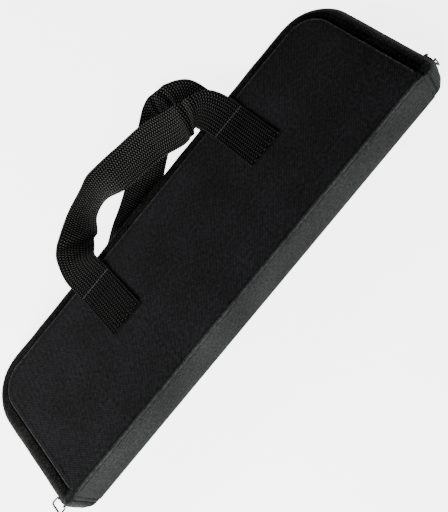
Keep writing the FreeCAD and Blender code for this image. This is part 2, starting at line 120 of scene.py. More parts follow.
world = bpy.data.worlds.new("studio_sky")
world.use_nodes = True
fill(world.node_tree.nodes["Background"], {"Color": linear("#ffffff"), "Strength": 0.22})
bpy.context.scene.world = world

for light_name, place, power, size in (
        ("key", (-0.75, -0.9, 0.85), 14.0, 0.25),
        ("end_fill", (-0.75, -0.45, 0.30), 9.5, 0.3),
        ("weave_rake", (-0.9, 0.9, 0.5), 17.0, 0.25)):
    bpy.ops.object.light_add(type="AREA", location=place)
    light = bpy.context.object
    light.name = light_name
    light.data.energy = power
    light.data.size = size
    light.rotation_euler = (-Vector(place)).to_track_quat("-Z", "Y").to_euler()


# ---- Covers: 600 denier polyester canvas folded round foam and a stiff board ----
# The rim is rolled, so it catches light; the face is taut but not quite flat, and is drawn
# down where the webbing is box-stitched through it.
WHOLE_LOW, WHOLE_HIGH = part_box("front_skin")
CASE_TOP = WHOLE_HIGH.z
MIDDLE = CASE_TOP / 2
END_X = WHOLE_HIGH.x
HANDLE_EDGE = WHOLE_HIGH.y
CORNER = 0.028
SPINE_CORNER = 0.006
PATCH_HALF = 0.02
PATCH_X = (0.105, -0.095)
PATCH_START = 0.006
STITCHED_END = 0.047


def only(piece):
    """Makes this the one selected and active object, in object mode."""
    if bpy.context.object and bpy.context.object.mode != "OBJECT":
        bpy.ops.object.mode_set(mode="OBJECT")
    bpy.ops.object.select_all(action="DESELECT")
    piece.select_set(True)
    bpy.context.view_layer.objects.active = piece


def select_in(piece, kind, test):
    """Enters edit mode and selects the vertices, edges or faces that pass the test."""
    only(piece)
    bpy.ops.object.mode_set(mode="EDIT")
    bpy.ops.mesh.select_mode(type=kind)
    bpy.ops.mesh.select_all(action="DESELECT")
    shape = bmesh.from_edit_mesh(piece.data)
    items = {"VERT": shape.verts, "EDGE": shape.edges, "FACE": shape.faces}[kind]
    for item in items:
        if test(item):
            item.select_set(True)
    shape.select_flush_mode()
    bmesh.update_edit_mesh(piece.data)


def block(name, low, high):
    """A box between two corners, with its place in its mesh, ready to be shaped."""
    bpy.ops.object.select_all(action="DESELECT")
    low, high = Vector(low), Vector(high)
    bpy.ops.mesh.primitive_cube_add(size=1, location=(low + high) / 2)
    piece = bpy.context.object
    piece.name = name
    piece.scale = high - low
    bpy.ops.object.transform_apply(location=True, rotation=True, scale=True)
    return piece


def finish(piece, body, material, stands_for=(), angle=40):
    """Smooths a piece, gives it its material and sets what it rides on and replaces."""
    only(piece)
    bpy.ops.object.shade_smooth_by_angle(angle=math.radians(angle))
    piece.data.materials.clear()
    piece.data.materials.append(material)
    if body:
        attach(piece, body)
    if stands_for:
        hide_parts(*stands_for)
    return piece


def bevel_edges(piece, test, offset, segments):
    """Rounds the edges that pass the test."""
    select_in(piece, "EDGE", test)
    bpy.ops.mesh.bevel(offset=offset, segments=segments, affect="EDGES", clamp_overlap=False)
    bpy.ops.object.mode_set(mode="OBJECT")


def grid_cuts(piece, axis, start, stop, step):
    """Cuts the piece into strips across one axis, so that its faces can be shaped."""
    select_in(piece, "FACE", lambda face: True)
    place = start + step
    while place < stop - step / 2:
        where, normal = Vector((0, 0, 0)), Vector((0, 0, 0))
        where[axis], normal[axis] = place, 1.0
        bpy.ops.mesh.select_all(action="SELECT")
        bpy.ops.mesh.bisect(plane_co=where, plane_no=normal)
        place += step
    bpy.ops.object.mode_set(mode="OBJECT")


def new_material(name):
    """An empty node material: the material, its tree and its Principled shader."""
    material = bpy.data.materials.new(name)
    material.use_nodes = True
    shader = material.node_tree.nodes["Principled BSDF"]
    return material, material.node_tree, shader


def threads(tree, along, pitch):
    """A sine along one direction, one full wave for each thread pitch."""
    turns = add_node(tree, "Math", {0: along, 1: 2 * math.pi / pitch}, operation="MULTIPLY")
    return add_node(tree, "Math", {0: turns}, operation="SINE")


def cloth(name, dark, light, pitch, roughness, sheen, bump, depth=0.00015, gloss=0.3):
    """A plain weave: threads cross at the pitch, uneven in shade, duller where it is rubbed."""
    material, tree, shader = new_material(name)
    place = add_node(tree, "TexCoord").outputs["Object"]
    x, y, z = add_node(tree, "SeparateXYZ", {0: place}).outputs
    across = add_node(tree, "Math", {0: z, 1: 0.37, 2: x}, operation="MULTIPLY_ADD")
    along = add_node(tree, "Math", {0: y, 1: z}, operation="ADD")
    weave = add_node(tree, "Math", {0: threads(tree, across, pitch), 1: threads(tree, along, pitch)},
                     operation="MULTIPLY")
    grain = add_node(tree, "TexNoise", {"Vector": place, "Scale": 1 / (1.4 * pitch), "Detail": 3.0})
    height = add_node(tree, "Math", {0: weave, 1: 0.3, 2: grain}, operation="MULTIPLY_ADD")
    patches = add_node(tree, "TexNoise", {"Vector": place, "Scale": 1 / 0.042, "Detail": 3.0})
    rubbed = add_node(tree, "Math", {0: patches, 1: 0.35}, operation="MULTIPLY")
    shade = add_node(tree, "Math", {0: height, 1: 0.75, 2: rubbed}, operation="MULTIPLY_ADD")
    colour = add_node(tree, "ValToRGB", {0: shade}, [(0.40, dark), (0.85, light)])
    rough = add_node(tree, "MapRange", {"Value": patches, "To Min": roughness - 0.06,
                                        "To Max": roughness + 0.06})
    relief = add_node(tree, "Bump", {"Height": height, "Strength": bump, "Distance": depth})
    fill(shader, {"Base Color": colour, "Roughness": rough, "Normal": relief, "Sheen Weight": sheen,
                  "Sheen Roughness": 0.5, "Specular IOR Level": gloss})
    return material


# Canvas: matt, with a fine dry grain. Real threads are 0.5 mm apart; they are drawn at 2.2 mm
# so that the weave still shows when the whole case is in view.
canvas = cloth("polyester_canvas", "#000000", "#242427", 0.0022, 0.9, 0.02, 1.0, 0.0006, 0.1)


def near_patch(x, y):
    """1 under the box stitching, falling to 0 a few millimetres outside it."""
    nearest = 0.0
    for middle in PATCH_X:
        gap_x = max(abs(x - middle) - PATCH_HALF, 0.0)
        gap_y = max(PATCH_START - y, y - STITCHED_END, 0.0)
        nearest = max(nearest, math.exp(-((gap_x ** 2 + gap_y ** 2) / 0.006 ** 2)))
    return nearest


def cover_panel(name, outer, inner, body, node):
    """A cover: rounded outline, rolled rim, and a face with slight puffiness and puckers."""
    up = 1.0 if outer > inner else -1.0
    low = (-END_X, WHOLE_LOW.y, min(outer, inner))
    high = (END_X, HANDLE_EDGE, max(outer, inner))
    piece = block(name, low, high)
    for side, radius, segments in ((1, CORNER, 14), (-1, SPINE_CORNER, 6)):
        edge_y = high[1] if side > 0 else low[1]
        bevel_edges(piece, lambda e: abs(e.verts[0].co.z - e.verts[1].co.z) > 0.001
                    and abs(e.verts[0].co.y - edge_y) < 0.001, radius, segments)
    bevel_edges(piece, lambda e: all(abs(v.co.z - outer) < 1e-5 for v in e.verts), 0.0016, 4)
    grid_cuts(piece, 0, low[0], high[0], 0.006)
    grid_cuts(piece, 1, low[1], high[1], 0.006)
    for vertex in piece.data.vertices:
        x, y, z = vertex.co
        if abs(z - outer) > 0.0001:
            continue
        edge = min(END_X - abs(x), HANDLE_EDGE - y, y - low[1])
        rim = math.exp(-((edge - 0.0045) / 0.002) ** 2)
        puff = 0.00025 * math.sin(31 * x + 1.3) * math.sin(57 * y + 0.4)
        puff += 0.00012 * math.sin(83 * x + 40 * y)
        dent = 0.0006 * near_patch(x, y) * (1 + 0.3 * math.sin(900 * x) * math.sin(700 * y))
        vertex.co.z += up * (puff * min(edge / 0.02, 1.0) - 0.0003 * rim - dent)
    finish(piece, body, canvas, [node], 50)


cover_panel("front_cover_canvas", CASE_TOP, CASE_TOP - 0.0062, "front_cover", "front_skin")
cover_panel("back_cover_canvas", 0.0, 0.0062, "back_half", "back_skin")


# ---- Spine: a smooth coated strip between two creases, stiffened inside ----
# Coated polyester is smoother and paler than the canvas and takes a soft satin light.
# Its threads, 0.4 mm apart, are drawn at 1.6 mm. The rims' rolled edges and the piping over the crease
# cords are the same cloths, painted paler where they stand proud as a painted highlight.
coated = cloth("pu_coated_polyester", "#0f1010", "#2f3231", 0.0016, 0.8, 0.0, 0.45, 0.0002, 0.02)
rolled = cloth("rolled_edge_painted_highlight", "#101010", "#494b49", 0.0018, 0.75, 0.0, 0.6, 0.0002, 0.05)
SPINE_LOW, SPINE_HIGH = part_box("spine_skin")
TUCK = Vector((0, 0, 0.0005))  # the strip runs on under the crease cords, so an open crease stays dark
spine = block("spine_strip", SPINE_LOW - TUCK, SPINE_HIGH + TUCK)
bevel_edges(spine, lambda e: all(abs(v.co.y - SPINE_LOW.y) < 1e-5 for v in e.verts), 0.0005, 3)
grid_cuts(spine, 0, SPINE_LOW.x, SPINE_HIGH.x, 0.006)
grid_cuts(spine, 2, SPINE_LOW.z, SPINE_HIGH.z, 0.004)
for vertex in spine.data.vertices:
    if abs(vertex.co.y - SPINE_LOW.y) < 1e-4:
        crown = 1 - ((vertex.co.z - MIDDLE) / (MIDDLE - SPINE_LOW.z)) ** 2
        ripple = math.sin(vertex.co.x * 47) * 0.0001 + math.sin(vertex.co.x * 19 + 2) * 0.00012
        vertex.co.y -= 0.0003 * crown + ripple * crown
finish(spine, "spine", coated, ["spine_skin"], 50)
# the piping over the crease cords is painted paler than the spine, a painted highlight along each crease
piping = cloth("crease_piping_painted_highlight", "#111211", "#414442", 0.0016, 0.8, 0.0, 0.45, 0.0002, 0.02)
for crease in ("front_crease_cord", "back_crease_cord"):
    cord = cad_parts[crease]
    cord.data.materials.clear()
    cord.data.materials.append(piping)


# ---- Zip band: a woven band moulded round, sewn under the cover's rim ----
# The band is ribbed grosgrain, its ribs across it. Each half is sewn in the groove under a rim and
# turned back on itself at the slot over the zip.
GROOVE = 0.003
GROOVE_SHADE_WIDTH = 0.0028
BEND = 0.017
ZIP_START = -0.064
TEETH_START = ZIP_START + 0.003


def new_piece(name, points, faces, edges=()):
    """A piece from its points, with its place in its mesh."""
    mesh = bpy.data.meshes.new(name)
    mesh.from_pydata(points, list(edges), faces)
    piece = bpy.data.objects.new(name, mesh)
    bpy.context.scene.collection.objects.link(piece)
    return piece


def face_outwards(piece):
    """Turns every face of a closed piece outwards."""
    select_in(piece, "FACE", lambda face: True)
    bpy.ops.mesh.normals_make_consistent(inside=False)
    bpy.ops.object.mode_set(mode="OBJECT")


def section_loop(name, points, start_y):
    """A closed line of points (out from the cover's end, height) at the zip's left end."""
    corners = [(-END_X - out, start_y, height) for out, height in points]
    count = len(corners)
    return new_piece(name, corners, [], [(i, (i + 1) % count) for i in range(count)])


def extrude_by(direction, length, step):
    """Draws the selected edges out in equal steps."""
    count = max(1, round(length / step))
    for _ in range(count):
        move = tuple(part * length / count for part in direction)
        bpy.ops.mesh.extrude_edges_move(TRANSFORM_OT_translate={"value": move})


def carry_round(piece, start_y, step=0.004, turns=12):
    """Carries the section up the left end, along the handle side and down the right end."""
    only(piece)
    bpy.ops.object.mode_set(mode="EDIT")
    bpy.ops.mesh.select_mode(type="EDGE")
    bpy.ops.mesh.select_all(action="SELECT")
    side = HANDLE_EDGE - CORNER - start_y
    extrude_by((0, 1, 0), side, step)
    for corner_x in (-END_X + CORNER, END_X - CORNER):
        centre = (corner_x, HANDLE_EDGE - CORNER, 0)
        bpy.ops.mesh.spin(steps=turns, dupli=False, angle=math.pi / 2, center=centre, axis=(0, 0, 1))
        if corner_x < 0:
            extrude_by((1, 0, 0), 2 * (END_X - CORNER), step)
    extrude_by((0, -1, 0), side, step)
    for end_x in (-1, 1):
        select_in(piece, "EDGE", lambda e: e.is_boundary and all(
            abs(v.co.y - start_y) < 1e-5 and v.co.x * end_x > 0 for v in e.verts))
        bpy.ops.mesh.edge_face_add()
    bpy.ops.mesh.select_all(action="SELECT")
    bpy.ops.mesh.normals_make_consistent(inside=False)
    bpy.ops.object.mode_set(mode="OBJECT")
    return piece


def bend_points(radius, low, high, steps, side):
    """Points round the band's bend between two angles from the crest, on one side of the zip."""
    points = []
    for number in range(steps + 1):
        angle = math.radians(low + (high - low) * number / steps)
        points.append((GROOVE + radius * math.cos(angle), MIDDLE + side * radius * math.sin(angle)))
    return points


def grosgrain_band():
    """Ribbed band, black and dull: ribs 2.4 mm apart cross threads 1.7 mm apart, under dry lint.
    Real ribs are 0.8 mm apart, and are drawn three times as coarse so that they show."""
    material, tree, shader = new_material("polyester_grosgrain")
    place = add_node(tree, "TexCoord").outputs["Object"]
    x, y, z = add_node(tree, "SeparateXYZ", {0: place}).outputs
    edge = add_node(tree, "Math", {0: x, 1: y}, operation="ADD")
    along = add_node(tree, "Math", {0: z, 1: 0.15, 2: edge}, operation="MULTIPLY_ADD")
    weave = add_node(tree, "Math", {0: threads(tree, along, 0.0024), 1: threads(tree, z, 0.0017)},
                     operation="MULTIPLY")
    lint = add_node(tree, "TexNoise", {"Vector": place, "Scale": 1 / 0.0019, "Detail": 3.0})
    height = add_node(tree, "Math", {0: weave, 1: 0.12, 2: lint}, operation="MULTIPLY_ADD")
    patches = add_node(tree, "TexNoise", {"Vector": place, "Scale": 1 / 0.030, "Detail": 2.0})
    rubbed = add_node(tree, "Math", {0: patches, 1: 0.3}, operation="MULTIPLY")
    shade = add_node(tree, "Math", {0: height, 1: 0.7, 2: rubbed}, operation="MULTIPLY_ADD")
    colour = add_node(tree, "ValToRGB", {0: shade}, [(0.42, "#000000"), (0.85, "#2f2f2d")])
    rough = add_node(tree, "MapRange", {"Value": lint, "To Min": 0.7, "To Max": 0.9})
    relief = add_node(tree, "Bump", {"Height": height, "Strength": 1.0, "Distance": 0.0005})
    fill(shader, {"Base Color": colour, "Roughness": rough, "Normal": relief, "Specular IOR Level": 0.02})
    return material


grosgrain = grosgrain_band()
# painted shade: the band's sewn edge, deep in the groove under the rim, takes a near-black cloth that
# stands for the shadow in the groove
groove_painted_shade = cloth("painted_groove_shade_cloth", "#000000", "#0c0c0c", 0.0016, 0.95, 0.0, 0.5, 0.0002, 0.02)
for half, side, body in (("front", 1.0, "front_cover"), ("back", -1.0, "back_half")):
    outer = bend_points(BEND, 90, 14, 10, side)
    hem = bend_points(BEND + 0.0005, 22, 15, 2, side)
    inner = bend_points(BEND - 0.0012, 14, 90, 8, side)
    flange = [(0.0001, MIDDLE + side * (BEND - 0.0012)), (0.0001, MIDDLE + side * BEND),
              (0.0015, MIDDLE + side * (BEND - 0.0002))]
    band = section_loop(f"{half}_zip_band", outer[:-2] + hem + inner + flange, ZIP_START)
    carry_round(band, ZIP_START)
    for vertex in band.data.vertices:
        x, y, z = vertex.co
        out = max(abs(x) - END_X, y - HANDLE_EDGE, 0.0)
        swell = 0.00035 * math.sin(120 * (x + y)) * math.sin(55 * (x - y) + 1) * min(out / 0.01, 1)
        vertex.co.z += side * swell
    finish(band, body, grosgrain, [f"{half}_gusset"], 45)
    band.data.materials.append(groove_painted_shade)
    # faces within the groove's width of the rim take the near-black painted shade cloth
    for face in band.data.polygons:
        corner_x, corner_y = abs(face.center.x) - END_X + CORNER, face.center.y - HANDLE_EDGE + CORNER
        reach = math.hypot(corner_x, corner_y) if min(corner_x, corner_y) > 0 else max(corner_x, corner_y)
        face.material_index = 1 if reach - CORNER < GROOVE_SHADE_WIDTH else 0

# the canvas is turned over a cord all round the cover's rim, beside the groove; the roll's cloth is painted
# paler than the canvas as a painted highlight along the rim
ROLL = 0.001
for half, side, body in (("front", 1.0, "front_cover"), ("back", -1.0, "back_half")):
    centre = MIDDLE + side * (MIDDLE - 0.9 * ROLL)
    turns = [math.pi * number / 5 for number in range(10)]
    circle = [(ROLL * (math.cos(turn) - 1.1), centre + ROLL * math.sin(turn)) for turn in turns]
    roll = section_loop(f"{half}_rolled_rim", circle, -0.0645)
    carry_round(roll, -0.0645, 0.006, 12)
    finish(roll, body, rolled, (), 60)


# ---- Zip: nylon coil teeth on a woven tape, behind the band's slot ----
# Each half carries its own tape and its own row of teeth; the rows meet at the middle plane.
zip_cloth = cloth("zip_tape_polyester", "#060606", "#1e1e1f", 0.0010, 0.8, 0.05, 0.5)
for half, side, body in (("front", 1.0, "front_cover"), ("back", -1.0, "back_half")):
    section = []
    for radius, steps in ((0.0157, range(6)), (0.0151, range(5, -1, -1))):
        for number in steps:
            distance = 0.0120 - 0.0018 * number
            out = GROOVE + math.sqrt(radius ** 2 - distance ** 2)
            section.append((out, MIDDLE + side * distance))
        if radius == 0.0157:
            section += [(0.0176, MIDDLE + side * 0.0027), (0.0175, MIDDLE + side * 0.0009),
                        (0.0171, MIDDLE + side * 0.0009), (0.0171, MIDDLE + side * 0.0027)]
    tape = section_loop(f"{half}_tape", section, ZIP_START)
    carry_round(tape, ZIP_START, 0.006, 10)
    finish(tape, body, zip_cloth, [f"{half}_zip_tape"], 35)


def edge_walk(out, start_y, step):
    """Places in equal steps along a line outside the covers' edge, each with its way along and out."""
    radius, side, top = CORNER + out, HANDLE_EDGE - CORNER - start_y, 2 * (END_X - CORNER)
    turn = radius * math.pi / 2
    total = 2 * side + 2 * turn + top
    count = int(total / step)
    places = []
    for number in range(count):
        way = (number + 0.5) * total / count
        if way < side:
            spot, along, away = (-END_X - out, start_y + way), (0, 1), (-1, 0)
        elif way < side + turn:
            angle = (way - side) / radius
            along, away = (math.sin(angle), math.cos(angle)), (-math.cos(angle), math.sin(angle))
            spot = (-END_X + CORNER + radius * away[0], HANDLE_EDGE - CORNER + radius * away[1])
        elif way < side + turn + top:
            spot, along, away = (way - side - turn - END_X + CORNER, HANDLE_EDGE + out), (1, 0), (0, 1)
        elif way < side + 2 * turn + top:
            angle = (way - side - turn - top) / radius
            along, away = (math.cos(angle), -math.sin(angle)), (math.sin(angle), math.cos(angle))
            spot = (END_X - CORNER + radius * away[0], HANDLE_EDGE - CORNER + radius * away[1])
        else:
            spot = (END_X + out, start_y + total - way)
            along, away = (0, -1), (1, 0)
        places.append((Vector((*spot, 0)), Vector((*along, 0)), Vector((*away, 0))))
    return places


def copies(name, piece, places):
    """Copies a small piece to many places in one mesh; a place is a point and its x, y, z ways."""
    points = np.array([vertex.co for vertex in piece.data.vertices])
    faces = np.array([list(face.vertices) for face in piece.data.polygons])
    spots = [points @ np.array(ways) + np.array(spot) for spot, *ways in places]
    numbers = [faces + number * len(points) for number in range(len(places))]
    bpy.data.objects.remove(piece)
    return new_piece(name, np.concatenate(spots).tolist(), np.concatenate(numbers).tolist())


def bead(length, width, height):
    """A small rounded bar along x, of four-sided faces only: a tooth or a stitch."""
    piece = block("bead", (-length / 2, -width / 2, -height / 2), (length / 2, width / 2, height / 2))
    select_in(piece, "FACE", lambda face: True)
    bpy.ops.mesh.subdivide(number_cuts=2, smoothness=0)
    bpy.ops.object.mode_set(mode="OBJECT")
    for vertex in piece.data.vertices:
        x, y, z = vertex.co.x / length, vertex.co.y / width, vertex.co.z / height
        far = max(abs(x), abs(y), abs(z)) * 2
        reach = math.sqrt(x * x + y * y + z * z) * 2
        pull = 0.55 + 0.45 * far / reach
        vertex.co = Vector((vertex.co.x * pull, vertex.co.y * pull, vertex.co.z * pull))
    return piece


def nylon_coil():
    """Dyed nylon monofilament: satin, with faint draw marks 0.6 mm long on the wire."""
    material, tree, shader = new_material("nylon_coil")
    place = add_node(tree, "TexCoord").outputs["Object"]
    marks = add_node(tree, "TexNoise", {"Vector": place, "Scale": 1 / 0.0006, "Detail": 2.0})
    colour = add_node(tree, "ValToRGB", {0: marks}, [(0.3, "#060606"), (0.8, "#1b1b1c")])
    relief = add_node(tree, "Bump", {"Height": marks, "Strength": 0.2, "Distance": 0.0001})
    fill(shader, {"Base Color": colour, "Normal": relief, "Roughness": 0.38})
    return material


coil = nylon_coil()
for half, side, body in (("front", 1.0, "front_cover"), ("back", -1.0, "back_half")):
    places = []
    for spot, along, away in edge_walk(0.0185, TEETH_START, 0.0015):
        across = away.cross(along)
        leaned = (along + 0.22 * side * across).normalized()
        places.append((spot + Vector((0, 0, MIDDLE + side * 0.00168)), leaned, away.cross(leaned), away))
    row = copies(f"{half}_coil", bead(0.0011, 0.0024, 0.0019), places)
    finish(row, body, coil, [f"{half}_zip_teeth"], 80)


def enamelled_metal():
    """Black baked enamel over cast zinc: glossy, with 0.7 mm orange peel and 3 mm rubbed spots."""
    material, tree, shader = new_material("black_enamelled_zinc")
    place = add_node(tree, "TexCoord").outputs["Object"]
    peel = add_node(tree, "TexNoise", {"Vector": place, "Scale": 1 / 0.0007, "Detail": 2.0})
    rub = add_node(tree, "TexNoise", {"Vector": place, "Scale": 1 / 0.0030, "Detail": 4.0})
    colour = add_node(tree, "ValToRGB", {0: rub}, [(0.45, "#020202"), (0.8, "#161617")])
    rough = add_node(tree, "MapRange", {"Value": rub, "To Min": 0.35, "To Max": 0.5})
    relief = add_node(tree, "Bump", {"Height": peel, "Strength": 0.15, "Distance": 0.0001})
    fill(shader, {"Base Color": colour, "Roughness": rough, "Normal": relief, "Specular IOR Level": 0.25})
    return material


enamel = enamelled_metal()
for half, side, body in (("front", 1.0, "front_cover"), ("back", -1.0, "back_half")):
    parts = []
    for end in (-1, 1):
        near, far = MIDDLE + side * 0.0005, MIDDLE + side * 0.0030
        inner, outer = end * (END_X + 0.0174), end * (END_X + 0.0197)
        stop = block(f"{half}_stop", (min(inner, outer), ZIP_START + 0.0003, min(near, far)),
                     (max(inner, outer), ZIP_START + 0.0027, max(near, far)))
        bevel_edges(stop, lambda e: True, 0.0004, 3)
        parts.append(stop)
    only(parts[0])
    parts[1].select_set(True)
    bpy.ops.object.join()
    finish(parts[0], body, enamel, [f"{half}_zip_stops"], 35)
    parts[0].name = f"{half}_crimped_stops"


# ---- Sliders: two cast plates joined by a neck, with two eyes that hold the wire pull ----
# The outer plate has a rounded outline; the eyes leave room for the wire.
SLIDER_HALF = 0.0055
SLIDER_Y = TEETH_START + SLIDER_HALF
PLATE_HALF = 0.0045
PIN_OUT = 0.0231
PULL_CORNERS = [(0, -3.8), (0, -7), (8, -7), (8, 7), (0, 7), (0, 3.8)]  # millimetres
PULL_BEND = 1.8
for end, way in (("left", -1), ("right", 1)):
    parts = []
    for number, (near, far) in enumerate(((0.0202, 0.0214), (0.0156, 0.0168))):
        xs = sorted((way * (END_X + near), way * (END_X + far)))
        plate = block(f"slider_plate_{number}", (xs[0], SLIDER_Y - SLIDER_HALF, MIDDLE - PLATE_HALF),
                      (xs[1], SLIDER_Y + SLIDER_HALF, MIDDLE + PLATE_HALF))
        bevel_edges(plate, lambda e: abs(e.verts[0].co.x - e.verts[1].co.x) > 0.001, 0.0026, 6)
        bevel_edges(plate, lambda e: e.is_manifold and e.calc_face_angle() > 1.2, 0.0003, 2)
        parts.append(plate)
    xs = sorted((way * (END_X + 0.0160), way * (END_X + 0.0208)))
    parts.append(block("slider_neck", (xs[0], SLIDER_Y - 0.002, MIDDLE - 0.0003),
                       (xs[1], SLIDER_Y + 0.002, MIDDLE + 0.0003)))
    for eye_y in (SLIDER_Y - 0.00475, SLIDER_Y + 0.00475):
        xs = sorted((way * (END_X + 0.0211), way * (END_X + 0.0223)))
        foot = block("slider_foot", (xs[0], eye_y - 0.0006, MIDDLE - 0.0012),
                     (xs[1], eye_y + 0.0006, MIDDLE + 0.0012))
        bevel_edges(foot, lambda e: True, 0.0002, 2)
        bpy.ops.object.select_all(action="DESELECT")
        bpy.ops.mesh.primitive_torus_add(
            location=(way * (END_X + PIN_OUT), eye_y, MIDDLE), rotation=(math.pi / 2, 0, 0),
            major_radius=0.00118, minor_radius=0.00046, major_segments=24, minor_segments=10)
        eye = bpy.context.object
        bpy.ops.object.transform_apply(location=True, rotation=True, scale=True)
        parts += [foot, eye]
    only(parts[0])
    for part in parts:
        part.select_set(True)
    bpy.ops.object.join()
    finish(parts[0], f"slider_{end}", enamel, [f"slider_{end}"], 35)
    parts[0].name = f"{end}_cast_slider"
    # the pull is one bent wire: thin feet in the eyes, thicker round the bow
    line = [Vector((*PULL_CORNERS[0], 0))]
    for before, corner, after in zip(PULL_CORNERS, PULL_CORNERS[1:], PULL_CORNERS[2:]):
        spot = Vector((*corner, 0))
        back, ahead = (Vector((*before, 0)) - spot).normalized(), (Vector((*after, 0)) - spot).normalized()
        for number in range(7):
            t = number / 6
            line.append(spot + PULL_BEND * ((1 - t) ** 2 * back + t ** 2 * ahead))
    line.append(Vector((*PULL_CORNERS[-1], 0)))
    points, count = [], 12
    for number, spot in enumerate(line):
        along = (line[min(number + 1, len(line) - 1)] - line[max(number - 1, 0)]).normalized()
        out = along.cross(Vector((0, 0, 1)))
        radius = 0.6 + 0.3 * min(max(spot.x / 2.5, 0.0), 1.0)
        for turn in range(count):
            angle = 2 * math.pi * turn / count
            at = spot + radius * (out * math.cos(angle) + Vector((0, 0, 1)) * math.sin(angle))
            hinge = (way * (END_X + PIN_OUT), SLIDER_Y, MIDDLE)
            if way < 0:
                points.append((hinge[0] - at.x / 1000, hinge[1] + at.y / 1000, hinge[2] + at.z / 1000))
            else:
                points.append((hinge[0] + at.z / 1000, hinge[1] + at.y / 1000, hinge[2] - at.x / 1000))
    faces = []
    for ring in range(0, len(points) - count, count):
        for i in range(count):
            j = (i + 1) % count
            faces.append((ring + i, ring + j, ring + count + j, ring + count + i))
    faces += [tuple(range(count)), tuple(range(len(points) - count, len(points)))]
    wire = new_piece(f"{end}_wire_pull", points, faces)
    face_outwards(wire)
    finish(wire, f"pull_{end}", enamel, [f"pull_{end}"], 50)


# ---- End tabs: folded coated fabric that closes the zip band beside the spine ----
# A tab is pulled in from the round band to a flatter end, which carries on the spine's plane.
def tab_ring(depth, radius, y, way):
    """Points round one D-shaped section of a tab, from its lower to its upper inner edge."""
    low, high = 0.003, CASE_TOP - 0.003
    points = [(-0.001, low), (min(depth - radius, (depth - radius) * 0.5), low)]
    for number in range(9):
        angle = math.pi / 2 * number / 8
        points.append((depth - radius + radius * math.sin(angle), low + radius - radius * math.cos(angle)))
    for number in range(1, 8):
        points.append((depth, low + radius + (high - low - 2 * radius) * number / 8))
    for number in range(9):
        angle = math.pi / 2 * number / 8
        points.append((depth - radius + radius * math.cos(angle), high - radius + radius * math.sin(angle)))
    points += [(min(depth - radius, (depth - radius) * 0.5), high), (-0.001, high)]
    return [(way * (END_X + out), y, height) for out, height in points]


SPINE_Y = SPINE_LOW.y
for end, way in (("left", -1), ("right", 1)):
    # each ring is how far out it stands, how round it is, and its y: folds are sewn across the tab
    rings = [(-0.0008, 0.0001, SPINE_Y + 0.0008), (0.0002, 0.0001, SPINE_Y + 0.0007),
             (0.0006, 0.0003, SPINE_Y - 0.0002), (0.0028, 0.0012, SPINE_Y - 0.0004),
             (0.0044, 0.0018, SPINE_Y - 0.0003), (0.0049, 0.0021, SPINE_Y + 0.0014),
             (0.0054, 0.0023, SPINE_Y + 0.0014), (0.0059, 0.0025, SPINE_Y),
             (0.0076, 0.0032, SPINE_Y - 0.0002), (0.0093, 0.0038, SPINE_Y),
             (0.0099, 0.0041, SPINE_Y + 0.0002), (0.0104, 0.0043, SPINE_Y + 0.0007),
             (0.0122, 0.0046, SPINE_Y + 0.0018), (0.0148, 0.0052, SPINE_Y + 0.0035),
             (0.0165, 0.0075, SPINE_Y + 0.0050), (0.0182, 0.0115, SPINE_Y + 0.0068),
             (0.0193, 0.0140, SPINE_Y + 0.0080), (0.0199, 0.0158, SPINE_Y + 0.0092)]
    points, faces = [], []
    for number, (depth, radius, y) in enumerate(rings):
        ring = tab_ring(depth, radius, y, way)
        count = len(ring)
        points += ring
        if number:
            for i in range(count - 1):
                a, b = (number - 1) * count + i, number * count + i
                faces.append((a, a + 1, b + 1, b) if way < 0 else (a, b, b + 1, a + 1))
    tab = new_piece(f"{end}_end_tab", points, faces)
    only(tab)
    bpy.ops.object.modifier_add(type="SOLIDIFY")
    tab.modifiers[-1].thickness = 0.0011
    tab.modifiers[-1].offset = -1.0
    bpy.ops.object.modifier_apply(modifier=tab.modifiers[-1].name)
    bpy.ops.object.modifier_add(type="SUBSURF")
    tab.modifiers[-1].levels = 1
    tab.modifiers[-1].render_levels = 1
    bpy.ops.object.modifier_apply(modifier=tab.modifiers[-1].name)
    for vertex in tab.data.vertices:
        x, y, z = vertex.co
        pucker = 0.00025 * math.sin(900 * z) * math.exp(-((y - SPINE_Y - 0.0045) / 0.003) ** 2)
        vertex.co.x += way * pucker
    # the tab's corner runs on under the cover's rounded corner, up to its edge
    corner_low = WHOLE_LOW.y + SPINE_CORNER
    plan = [(END_X + 0.0003, SPINE_Y + 0.0002), (END_X + 0.0003, corner_low)]
    for number in range(9):
        angle = math.pi / 2 * number / 8
        reach = SPINE_CORNER + 0.0002
        plan.append((END_X - SPINE_CORNER + reach * math.cos(angle), corner_low - reach * math.sin(angle)))
    plan.append((END_X - SPINE_CORNER + 0.0003, SPINE_Y + 0.0002))
    count = len(plan)
    points = [(way * x, y, z) for z in (0.0008, CASE_TOP - 0.0008) for x, y in plan]
    faces = [tuple(range(count)), tuple(range(count, 2 * count))]
    faces += [(i, (i + 1) % count, count + (i + 1) % count, count + i) for i in range(count)]
    corner = new_piece(f"{end}_tab_corner", points, faces)
    face_outwards(corner)
    only(tab)
    corner.select_set(True)
    bpy.ops.object.join()
    finish(tab, "spine", coated, [f"zip_end_tab_{end}"], 40)


